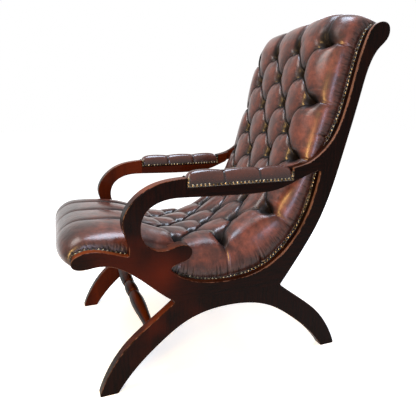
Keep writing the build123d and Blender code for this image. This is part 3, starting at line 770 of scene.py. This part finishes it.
        # Each fold is pressed in along a line, under the lip of the pillow below it
        from_fold = np.minimum(np.abs(p), np.abs(q)) * self.fold_spacing
        lip = self.lip_depth * np.exp(-from_fold / self.lip_width) * (side == 0)
        drop = depth * pull + (pit + lip + crease * self.crease_depth) * strength
        height = crown * rise - drop * np.sqrt(np.clip(1 - lean**2, 0, 1))
        x = x - drop * lean
        on_flange = flange > 0
        reach = np.clip(flange, 0, 1) * (self.flange_edge - self.leather_half)
        x = np.where(on_flange, self.leather_half + reach, x)
        height = np.where(on_flange, 0.0, height)
        height = np.where(flange > 1, -self.leather_thickness, height)
        spots = edge + normal * height[:, None]
        return {
            "places": np.column_stack((sign * x, spots)),
            "swell": np.where(on_flange, 0.3, 1 - np.clip(pull, 0, 1) * strength),
            "tufted": strength * ease(row, -3, 0.5) * (1 - ease(side, 0.1, 0.8)),
            "rim": np.where(on_flange, 1.0, ease(side, 0.55, 0.95)),
            "away": away,
        }

    def build(self) -> bpy.types.Object:
        """Shapes the cover, closes its underside and dresses it.

        Returns:
            The cover.
        """
        columns, ways = self.across()
        rows = self.along()
        shape, i, j = grid_shape(len(columns) - 1, len(rows) - 1)
        column, way, place = columns[i], ways[i], rows[j]
        made = self.surface(column, way, place)
        set_places(shape, made["places"])
        for name in ("swell", "tufted", "rim"):
            set_values(shape, name, made[name])
        folds = shape.loops.layers.uv.new("folds")
        roll = shape.loops.layers.uv.new("roll")
        row = np.clip(place - self.first_row_place + 1, 1, self.last_row)
        p, q = (row + column) / 2, (row - column) / 2
        run = np.concatenate(([0], np.cumsum(np.hypot(*np.diff(self.section(rows)[0], axis=0).T))))[j]
        for face in shape.faces:
            for loop in face.loops:
                n = loop.vert.index
                loop[folds].uv = (p[n], q[n])
                loop[roll].uv = (run[n], way[n])
        # Faces close round each button take the pit finish, its painted shade
        for face in shape.faces:
            if max(made["away"][v.index] for v in face.verts) < self.pit_shade_radius:
                face.material_index = 1
        close_tube(shape, i)
        piece = object_from("seat_back_cover", shape, self.hide.material())
        piece.data.materials.append(self.hide.pit())
        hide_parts("seat_back_leather", "seat_back_stuffing")
        return piece

    def button_places(self) -> list[tuple[Vector, Vector]]:
        """Finds the pits.

        Returns:
            Place and outward direction of each button.
        """
        found = []
        for row in range(1, self.last_row + 1):
            place = np.array([row + self.first_row_place - 1.0])
            normal = self.section(place)[1][0]
            for column in range(-3, 4):
                if (column + row) % 2 == 0:
                    spot = self.surface(np.array([float(column)]), np.array([0.0]), place)["places"][0]
                    found.append((Vector(spot), Vector((0, normal[0], normal[1]))))
        return found


@dataclass
class TuftButtons:
    """Leather-covered buttons at the bottom of the pits."""

    cover: TuftedCover
    hide: AntiquedHide
    radius: float = 8.5 * MM
    dome: float = 4.0 * MM
    lift: float = 3.0 * MM

    def build(self) -> bpy.types.Object:
        """Sets a flattened ball on each pit.

        Returns:
            The buttons.
        """
        shape = bmesh.new()
        for spot, normal in self.cover.button_places():
            turn = Vector((0, 0, 1)).rotation_difference(normal).to_matrix().to_4x4()
            stand = Matrix.Translation(spot + normal * self.lift) @ turn
            made = bmesh.ops.create_uvsphere(shape, u_segments=16, v_segments=8, radius=self.radius)
            flat = Matrix.Diagonal((1, 1, self.dome / self.radius, 1))
            bmesh.ops.transform(shape, matrix=stand @ flat, verts=made["verts"])
        # Painted shade: the buttons are darkened towards near black, as shade in their pits
        set_values(shape, "swell", np.full(len(shape.verts), 0.35))
        leather = self.hide.plain("buttons", 0.1, 0.05)
        piece = object_from("seat_back_buttons", shape, leather)
        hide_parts("tuft_buttons")
        return piece


class Side(Enum):
    """Side of the chair, for whoever sits in it."""

    left = 1
    right = -1


@dataclass
class ArmPad:
    """Stuffed leather pad on an arm, drawn in by two cross pleats with a small button each."""

    view: SideView
    hide: AntiquedHide
    side: Side
    middle: float = 280.0 * MM
    half_width: float = 21.5 * MM
    height: float = 44.0 * MM
    front: tuple[float, float] = (0.321, 0.550)
    back: tuple[float, float] = (0.669, 0.553)
    clearance: float = 0.6 * MM
    length: float = 320.0 * MM
    pleat_depth: float = 5.5 * MM
    pleat_width: float = 4.5 * MM
    waist_width: float = 5.0 * MM
    end_sag: float = 1.8 * MM
    squash: float = 2 / 2.15
    button_radius: float = 5.5 * MM
    around: int = 36
    lengthways: int = 150

    def crown(self, share: np.ndarray) -> np.ndarray:
        """Height of the pad's middle line.

        Args:
            share: Places as shares of the pad's length.

        Returns:
            Height above the pad's underside in metres.
        """
        pull = np.zeros_like(share)
        for pleat in (1 / 3, 2 / 3):
            away = np.abs(share - pleat) * self.length
            pull += self.pleat_depth * np.exp(-((away / self.pleat_width) ** 0.8))
        round_off = np.clip(1 - np.abs(2 * share - 1) ** 16, 0, 1) ** (1 / 3)
        sag = self.end_sag * (1 - np.sin(np.pi * 3 * share) ** 2)
        return (self.height - sag - pull) * round_off

    def build(self) -> bpy.types.Object:
        """Shapes the pad and its two buttons.

        Returns:
            The pad.
        """
        shape, i, j = grid_shape(self.around, self.lengthways)
        angle = np.pi * i / self.around
        along = (1 - np.cos(np.pi * j / self.lengthways)) / 2
        along = 0.35 * along + 0.65 * j / self.lengthways
        start, end = self.view.points([self.front, self.back])
        base = start + (end - start) * (0.002 + 0.996 * along[:, None])
        across = np.sign(np.cos(angle)) * np.abs(np.cos(angle)) ** self.squash
        up = np.abs(np.sin(angle)) ** self.squash
        ends = np.clip(1 - np.abs(2 * along - 1) ** 40, 0, 1) ** 0.3
        near = np.minimum(np.abs(along - 1 / 3), np.abs(along - 2 / 3)) * self.length
        waist = 1 - 0.05 * np.exp(-((near / self.waist_width) ** 2))
        x = self.side.value * self.middle + across * self.half_width * (0.9 + 0.1 * ends) * waist
        z = base[:, 1] + self.clearance + up * self.crown(along)
        set_places(shape, np.column_stack((x, base[:, 0], z)))
        # Painted shade: the swell value darkens the pad towards its underside and in its pleats, so its top
        # reads lighter
        set_values(shape, "swell", np.clip(near / self.waist_width, 0.15, 1) * (0.1 + 0.9 * up))
        close_tube(shape, i)
        leather = self.hide.plain("pad_" + self.side.name, 0.45, 0.7)
        piece = object_from("arm_pad_cover_" + self.side.name, shape, leather)
        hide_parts("arm_pad_leather_" + self.side.name, "arm_pad_filling_" + self.side.name)
        self.buttons(start, end)
        return piece

    def buttons(self, start: np.ndarray, end: np.ndarray) -> None:
        """Sets the two small buttons in the pleats.

        Args:
            start: Front end of the pad's underside, as y and z.
            end: Back end of it.
        """
        shape = bmesh.new()
        for share in (1 / 3, 2 / 3):
            spot = start + (end - start) * share
            top = spot[1] + self.clearance + float(self.crown(np.array([share]))[0]) + 1.0 * MM
            made = bmesh.ops.create_uvsphere(shape, u_segments=14, v_segments=8, radius=self.button_radius)
            flat = Matrix.Diagonal((1, 1, 0.5, 1))
            move = Matrix.Translation((self.side.value * self.middle, spot[0], top))
            bmesh.ops.transform(shape, matrix=move @ flat, verts=made["verts"])
        # Painted shade: the small buttons are darkened a little, as shade in the pleats
        set_values(shape, "swell", np.full(len(shape.verts), 0.7))
        leather = self.hide.plain("pad_buttons_" + self.side.name, 0.2, 0.3)
        piece = object_from("arm_pad_small_buttons_" + self.side.name, shape, leather)
        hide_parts("arm_pad_buttons_" + self.side.name)


# ---------------------------------------------------------------- stretched sheets under and behind
@dataclass
class StretchedPanel:
    """Sheet pulled tight between the side frames along a line of the side view."""

    view: SideView
    name: str
    node: str
    slot: str
    material: bpy.types.Material
    shares: list[tuple[float, float]]
    half_width: float
    thickness: float
    rests_on: list[str]
    sag: float = 2.0 * MM
    columns: int = 60
    rows: int = 160

    def build(self) -> bpy.types.Object:
        """Shapes the sheet with a slight sag and gives it its thickness.

        Returns:
            The sheet.
        """
        shape, i, j = grid_shape(self.columns, self.rows)
        points = self.view.points(self.shares)
        places = j / self.rows * (len(points) - 1)
        line = smooth_line(points, places)
        ahead = smooth_line(points, np.clip(places + 0.01, 0, len(points) - 1))
        behind = smooth_line(points, np.clip(places - 0.01, 0, len(points) - 1))
        run = ahead - behind
        run /= np.hypot(run[:, 0], run[:, 1])[:, None]
        normal = np.column_stack((-run[:, 1], run[:, 0]))
        across = 2 * i / self.columns - 1
        drop = self.sag * (1 - across**2) * np.sin(np.pi * j / self.rows)
        set_places(shape, np.column_stack((across * self.half_width, line - normal * drop[:, None])))
        set_values(shape, "swell", np.full(len(shape.verts), 0.9))
        bmesh.ops.recalc_face_normals(shape, faces=shape.faces)
        bmesh.ops.solidify(shape, geom=shape.faces[:], thickness=self.thickness)
        bmesh.ops.recalc_face_normals(shape, faces=shape.faces)
        piece = object_from(self.name, shape, self.material)
        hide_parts(self.node)
        return piece


# ---------------------------------------------------------------- frame
@dataclass
class ShowWoodFrame:
    """Side frames, rails and stretchers, which keep their modelled shape and get their polish."""

    nodes: dict[str, bpy.types.Object]
    mahogany: PolishedMahogany
    grains: dict[str, Grain] = field(
        default_factory=lambda: {
            "front_leg": Grain.UPRIGHT, "rear_leg": Grain.UPRIGHT, "seat_rail": Grain.ALONG,
            "back_post": Grain.UPRIGHT, "arm_scroll": Grain.UPRIGHT, "arm_rest": Grain.ALONG,
        }
    )

    def dress(self, name: str, material: bpy.types.Material) -> None:
        """Gives a node its finish in each of its slots.

        Args:
            name: Name of the node.
            material: Its finish.
        """
        mesh_object = self.nodes[name]
        if not mesh_object.material_slots:
            mesh_object.data.materials.append(material)
        for slot in mesh_object.material_slots:
            slot.material = material
        LOG.info("%s: %s", name, material.name)

    def build(self) -> None:
        """Dresses the wooden nodes, the nails and the hidden parts."""
        woods = {grain: self.mahogany.material(grain) for grain in Grain}
        for plank, grain in self.grains.items():
            for side in Side:
                self.dress(f"{plank}_{side.name}", woods[grain])
        for name in ("front_stretcher", "rear_stretcher"):
            self.dress(name, woods[Grain.ACROSS])
        beech = RawBeech().material()
        for name in ("front_cross_rail", "lower_back_cross_rail", "top_cross_rail", "frame_dowels"):
            self.dress(name, beech)
        brass = AgedBrass().material()
        for side in Side:
            self.dress("edge_nails_" + side.name, brass)
            self.dress("arm_pad_nails_" + side.name, brass)
        self.dress("webbing_straps", WovenCloth("jute_webbing", "#9c7f55", "#4c3a22", 3.0 * MM).material())


# ---------------------------------------------------------------- room
@dataclass(frozen=True)
class SoftLamp:
    """Square or oblong soft light that faces the chair."""

    name: str
    heading: tuple[float, float, float]
    distance: float
    size: tuple[float, float]
    power: float
    colour: tuple[float, float, float]
    aim: tuple[float, float, float] = (0.0, 0.0, 0.5)

    def hang(self) -> None:
        """Places the lamp."""
        light = bpy.data.lights.new(self.name, "AREA")
        light.shape = "RECTANGLE"
        light.size, light.size_y = self.size
        light.energy = self.power
        light.color = self.colour
        lamp = bpy.data.objects.new(self.name, light)
        heading = Vector(self.heading).normalized()
        lamp.location = Vector(self.aim) + heading * self.distance
        lamp.rotation_euler = heading.to_track_quat("Z", "Y").to_euler()
        bpy.context.scene.collection.objects.link(lamp)


@dataclass(frozen=True)
class Studio:
    """Pale floor, white surroundings, soft lamps and the camera of the photograph."""

    camera_place: tuple[float, float, float] = (1.2402, -0.4555, 0.70095)
    camera_turn: float = 1.20570
    camera_tilt: float = 0.21548
    camera_roll: float = -0.0028
    lens: float = 33.75
    shift: tuple[float, float] = (0.0032, 0.0071)
    surroundings: float = 0.12
    floor_half: float = 40.0
    shadow_reach: float = 0.9
    glow_reach: float = 3.5
    near_glow: float = 0.66
    far_glow: float = 0.95
    lamps: tuple[SoftLamp, ...] = (
        SoftLamp("window", (0.1, -0.6, 0.9), 2.6, (1.2, 1.2), 42.0, (1.0, 0.97, 0.93)),
        SoftLamp("warm_strip", (0.76, -0.64, 0.16), 2.5, (0.34, 1.5), 88.0, (1.0, 0.58, 0.18)),
        SoftLamp("sky", (0.1, 0.12, 1.0), 2.4, (1.0, 1.0), 70.0, (0.70, 0.82, 1.0)),
        SoftLamp("cool_strip", (0.98, -0.14, 0.22), 2.6, (0.3, 1.5), 20.0, (0.66, 0.70, 1.0)),
        SoftLamp("rear_fill", (-0.6, 0.9, 0.5), 2.8, (1.6, 1.6), 34.0, (0.80, 0.87, 1.0)),
    )

    def backdrop_share(self, shading: Shading) -> Socket:
        """Where the background shows.

        Args:
            shading: Node tree that asks.

        Returns:
            1 where it is seen directly, in a reflection or through glass, and otherwise 0.
        """
        path = shading.add("ShaderNodeLightPath").outputs
        seen = shading.math("ADD", path["Is Camera Ray"], path["Is Glossy Ray"])
        return shading.math("ADD", seen, path["Is Transmission Ray"], clamp=True)

    def build(self) -> None:
        """Sets up the room."""
        scene = bpy.context.scene
        scene.view_settings.view_transform = "Standard"
        shading = Shading("white_studio", of_world=True)
        scene.world = shading.block
        strength = shading.ramp(self.backdrop_share(shading), 0.0, 1.0, self.surroundings, 1.0)
        sky = shading.add("ShaderNodeBackground", {"Color": (1, 1, 1, 1), "Strength": strength})
        shading.add("ShaderNodeOutputWorld", {"Surface": sky.outputs[0]})
        for lamp in self.lamps:
            lamp.hang()
        self.lay_floor()
        self.set_camera()

    def lay_floor(self) -> None:
        """Lays the floor, which is white to the eye but keeps the chair's shadow."""
        shape = bmesh.new()
        bmesh.ops.create_grid(shape, x_segments=1, y_segments=1, size=self.floor_half)
        mesh = bpy.data.meshes.new("studio_floor")
        shape.to_mesh(mesh)
        shape.free()
        floor = bpy.data.objects.new("studio_floor", mesh)
        shading = Shading("white_floor_paint")
        # The paint glows where it is seen away from the chair, so that the shadow near it stays
        away = shading.add("ShaderNodeVectorMath", {0: shading.place()}, operation="LENGTH").outputs["Value"]
        glow = shading.ramp(away, self.shadow_reach, self.glow_reach, self.near_glow, self.far_glow)
        shading.surface(
            Base_Color=linear("#f4f3f1"), Roughness=0.9, Specular_IOR_Level=0.1, Emission_Color=(1, 1, 1, 1),
            Emission_Strength=shading.math("MULTIPLY", self.backdrop_share(shading), glow),
        )
        mesh.materials.append(shading.block)
        bpy.context.scene.collection.objects.link(floor)

    def set_camera(self) -> None:
        """Sets the camera where the photograph was taken from."""
        a, e, c = self.camera_turn, self.camera_tilt, self.camera_roll
        back = Vector((math.sin(a) * math.cos(e), -math.cos(a) * math.cos(e), math.sin(e)))
        level = Vector((math.cos(a), math.sin(a), 0))
        above = back.cross(level)
        right = math.cos(c) * level + math.sin(c) * above
        up = -math.sin(c) * level + math.cos(c) * above
        data = bpy.data.cameras.new("photograph_camera")
        data.sensor_width = 36.0
        data.lens = self.lens
        data.shift_x, data.shift_y = self.shift
        camera = bpy.data.objects.new("photograph_camera", data)
        turn = Matrix((right, up, back)).transposed().to_4x4()
        camera.matrix_world = Matrix.Translation(self.camera_place) @ turn
        bpy.context.scene.collection.objects.link(camera)
        bpy.context.scene.camera = camera


def main() -> None:
    """Builds the chair's dressed pieces in order, and logs each piece's face count."""
    logging.basicConfig(level=logging.INFO, format="%(name)s: %(message)s")
    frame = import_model()
    Studio().build()
    view = SideView()
    hide = AntiquedHide()
    ShowWoodFrame(frame["nodes"], PolishedMahogany()).build()
    cover = TuftedCover(view, hide)
    cover.build()
    TuftButtons(cover, hide).build()
    for side in Side:
        ArmPad(view, hide, side).build()
    StretchedPanel(
        view, "outside_back_panel", "outside_back_leather", "antiqued_leather",
        hide.plain("outside_back", 0.35, 0.15),
        shares=[
            (0.987, 0.978), (0.988, 0.966), (0.974, 0.951), (0.951, 0.931), (0.927, 0.896),
            (0.895, 0.807), (0.833, 0.609), (0.764, 0.437), (0.693, 0.332), (0.640, 0.268),
        ],
        half_width=263.0 * MM, thickness=1.6 * MM, rests_on=["back_post_left", "back_post_right"],
    ).build()
    StretchedPanel(
        view, "under_seat_lining", "bottom_lining", "black_lining",
        WovenCloth("black_lining_cambric", "#1b1a1a", "#0b0b0b", 1.6 * MM).material(),
        shares=[
            (0.636, 0.262), (0.458, 0.249), (0.290, 0.255), (0.205, 0.316), (0.120, 0.3625),
            (0.070, 0.3645), (0.014, 0.3645),
        ],
        half_width=263.0 * MM, thickness=0.8 * MM, rests_on=["seat_rail_left", "seat_rail_right"],
    ).build()


if __name__ == "__main__":
    main()
